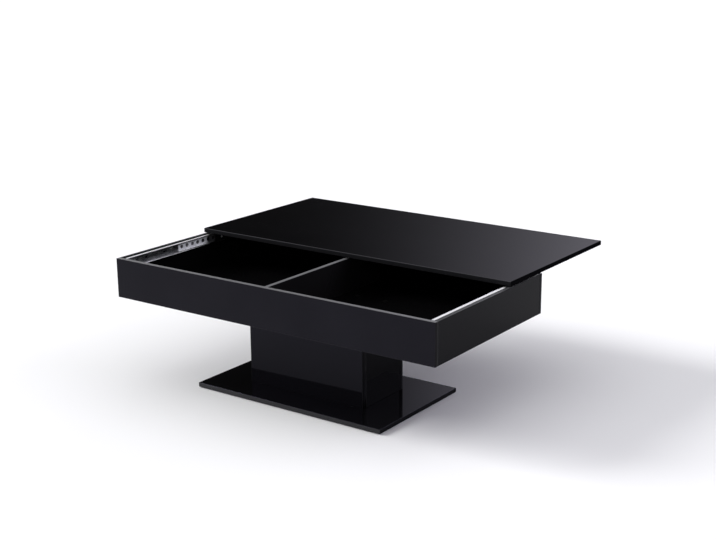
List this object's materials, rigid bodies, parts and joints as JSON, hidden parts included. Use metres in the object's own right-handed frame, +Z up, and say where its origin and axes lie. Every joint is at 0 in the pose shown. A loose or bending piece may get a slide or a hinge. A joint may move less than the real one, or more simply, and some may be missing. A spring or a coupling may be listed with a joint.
{
  "type": "sliding top coffee table",
  "caption": "Low rectangular table: its top slides back on ball slides over a shallow divided storage box, carried by a hollow column on a base plate.",
  "frame": {"origin": "on the floor, at the underside of the felt pad in the middle of the base plate", "axes": "+X along the table to the right of someone who faces the open box, +Y to the back, the way the top opens, +Z up"},
  "size_m": [1, 0.84, 0.357],
  "materials": {
    "gloss_black": "12 mm fibreboard, 16 mm in the column, high-gloss black laminate on every face and edge",
    "pad_felt": "pressed dark felt, self-adhesive",
    "beech": "bare turned beech",
    "cam_zinc": "cast zinc, tumbled",
    "screw_steel": "bright zinc-plated steel",
    "cap_plastic": "black moulded plastic",
    "rail_zinc": "roll-formed sheet steel, bright zinc plated",
    "cage_zinc": "pressed sheet steel, bright zinc plated",
    "ball_steel": "hardened polished steel",
    "bumper_rubber": "black moulded rubber",
    "hanger_black": "folded steel angle, black powder coat"
  },
  "bodies": {
    "table": {"base_plate": "gloss_black", "column_front": "gloss_black", "column_back": "gloss_black", "column_left": "gloss_black", "column_right": "gloss_black", "box_front": "gloss_black", "box_back": "gloss_black", "box_left_end": "gloss_black", "box_right_end": "gloss_black", "box_bottom": "gloss_black", "box_divider": "gloss_black", "floor_pads": "pad_felt", "box_corner_dowels": "beech", "box_bottom_dowels": "beech", "divider_dowels": "beech", "column_dowels": "beech", "box_corner_cams": "cam_zinc", "box_bottom_cams": "cam_zinc", "box_corner_bolts": "screw_steel", "box_bottom_bolts": "screw_steel", "base_screws": "screw_steel", "column_top_screws": "screw_steel", "screw_caps": "cap_plastic", "left_slide_rail": "rail_zinc", "left_rail_bumpers": "bumper_rubber", "left_rail_screws": "screw_steel", "right_slide_rail": "rail_zinc", "right_rail_bumpers": "bumper_rubber", "right_rail_screws": "screw_steel"},
    "top": {"sliding_top": "gloss_black", "top_screws": "screw_steel", "left_slide_carriage": "rail_zinc", "left_carriage_screws": "screw_steel", "left_carriage_nuts": "screw_steel", "left_top_hanger": "hanger_black", "right_slide_carriage": "rail_zinc", "right_carriage_screws": "screw_steel", "right_carriage_nuts": "screw_steel", "right_top_hanger": "hanger_black"},
    "left_cage": {"left_ball_cage": "cage_zinc", "left_cage_balls": "ball_steel"},
    "right_cage": {"right_ball_cage": "cage_zinc", "right_cage_balls": "ball_steel"}
  },
  "joints": [
    {"name": "top_slide", "type": "slide", "parent": "table", "child": "top", "axis": [0, 1, 0], "range_m": [-0.34, 0]},
    {"name": "left_cage_slide", "type": "slide", "parent": "table", "child": "left_cage", "axis": [0, 1, 0], "range_m": [-0.17, 0]},
    {"name": "right_cage_slide", "type": "slide", "parent": "table", "child": "right_cage", "axis": [0, 1, 0], "range_m": [-0.17, 0]}
  ],
  "couplings": [
    {"joint": "left_cage_slide", "follows": "top_slide", "ratio": 0.5},
    {"joint": "right_cage_slide", "follows": "top_slide", "ratio": 0.5}
  ]
}
